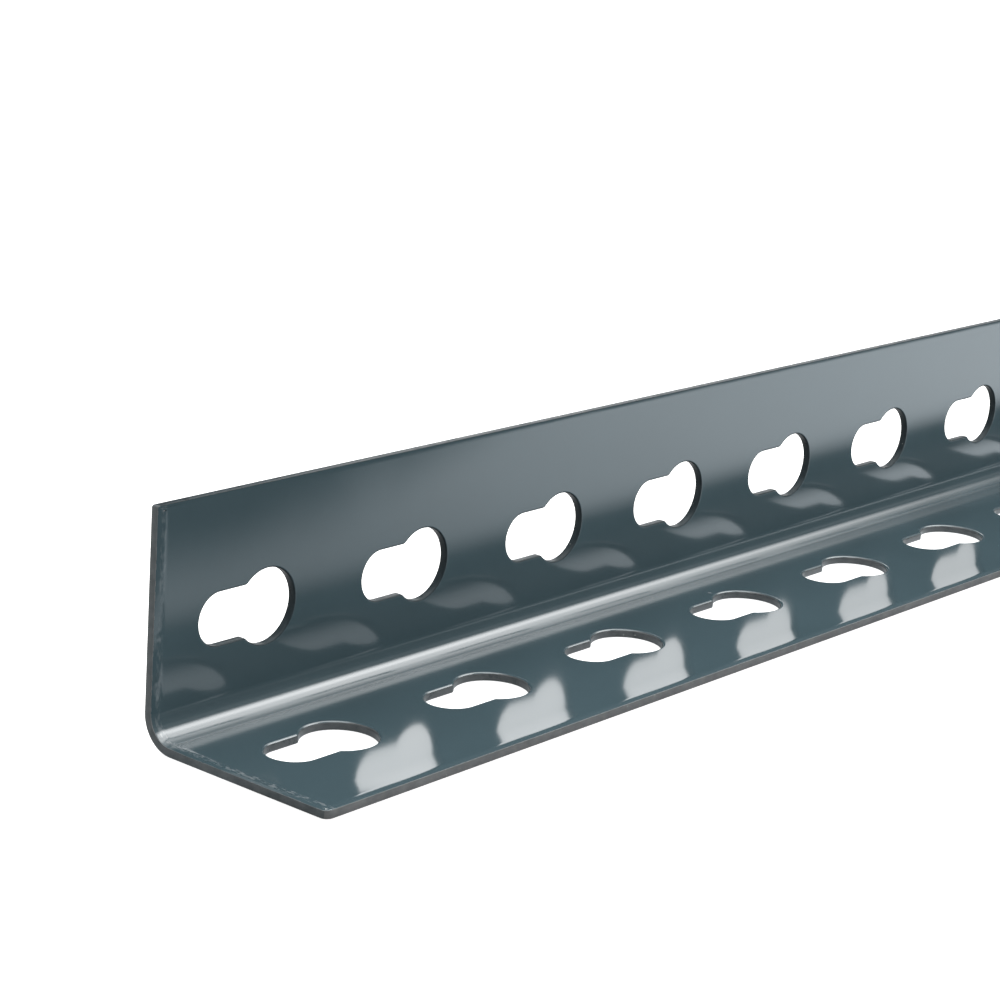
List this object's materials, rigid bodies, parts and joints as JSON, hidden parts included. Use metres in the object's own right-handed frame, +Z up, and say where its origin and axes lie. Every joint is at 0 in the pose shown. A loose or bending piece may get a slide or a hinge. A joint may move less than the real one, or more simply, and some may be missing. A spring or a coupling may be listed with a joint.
{
  "type": "slotted angle",
  "caption": "Length of painted sheet steel folded into an even L, with a row of keyholes punched along each leg for studs or bolts.",
  "frame": {"origin": "middle of the underside of the outer box: half way along the length, half way across the flat leg, on the plane that the flat leg lies on", "axes": "+X along the length, the way the round lobes of the keyholes point; +Y from the free edge of the flat leg to the back of the upright leg; +Z up along the upright leg"},
  "size_m": [0.9144, 0.04, 0.04],
  "materials": {
    "enamel": "gloss"
  },
  "bodies": {
    "root": {"slotted_angle": "enamel"}
  },
  "joints": []
}
